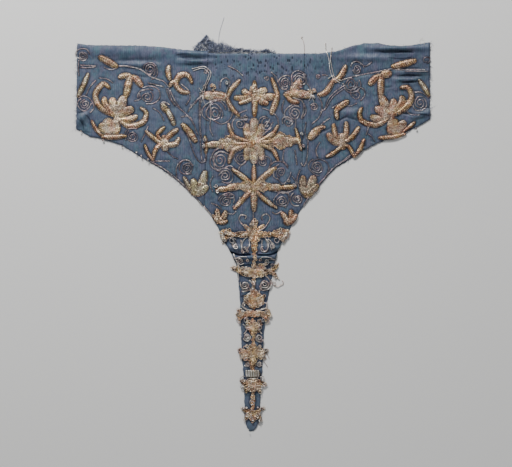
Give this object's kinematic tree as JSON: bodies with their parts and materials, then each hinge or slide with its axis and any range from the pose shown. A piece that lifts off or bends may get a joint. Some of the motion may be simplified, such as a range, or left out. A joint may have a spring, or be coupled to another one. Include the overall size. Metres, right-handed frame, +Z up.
{
  "type": "stomacher",
  "caption": "Flat triangular-tailed bodice front of ribbed silk with raised metal-thread leaves, worn laced into the front of a gown.",
  "frame": {"origin": "middle of the part's box, on the surface that it lies on", "axes": "+Z up from the embroidered face, +Y to the top edge, -Y to the tip of the tail, +X to the right as the embroidered face is seen"},
  "size_m": [0.354, 0.414, 0.0039],
  "materials": {
    "silk": "ribbed silk with a soft sheen",
    "frayed_silk": "loose matt silk fibres",
    "gold_thread": "metal-wrapped thread over padding, satin",
    "silver_thread": "metal-wrapped thread over padding, satin"
  },
  "bodies": {
    "root": {"silk_left_wing": "silk", "silk_centre": "silk", "silk_right_wing": "silk", "frayed_edge": "frayed_silk", "bud_left": "gold_thread", "spray_left": "gold_thread", "curl_left": "gold_thread", "leaf_by_curl_left": "gold_thread", "inner_leaf_left": "gold_thread", "plant_left": "gold_thread", "small_flower_left": "gold_thread", "top_bar_left": "gold_thread", "top_bar_centre": "gold_thread", "top_bar_right": "gold_thread", "rosette": "gold_thread", "star": "gold_thread", "first_bar": "gold_thread", "second_bar": "gold_thread", "third_bar": "gold_thread", "fourth_bar": "gold_thread", "fifth_bar": "gold_thread", "stem_beads": "gold_thread", "bud_right": "gold_thread", "spray_right": "gold_thread", "curved_pair_right": "gold_thread", "small_bud_right": "gold_thread", "inner_leaf_right": "gold_thread", "plant_right": "gold_thread", "small_flower_right": "gold_thread", "edge_leaf_left": "silver_thread", "small_bud_left": "silver_thread", "edge_flower_left": "silver_thread", "shell": "silver_thread", "paired_leaves": "silver_thread", "ladder": "silver_thread", "tip_flower": "silver_thread", "edge_leaf_right": "silver_thread", "edge_flower_right": "silver_thread"}
  },
  "joints": []
}
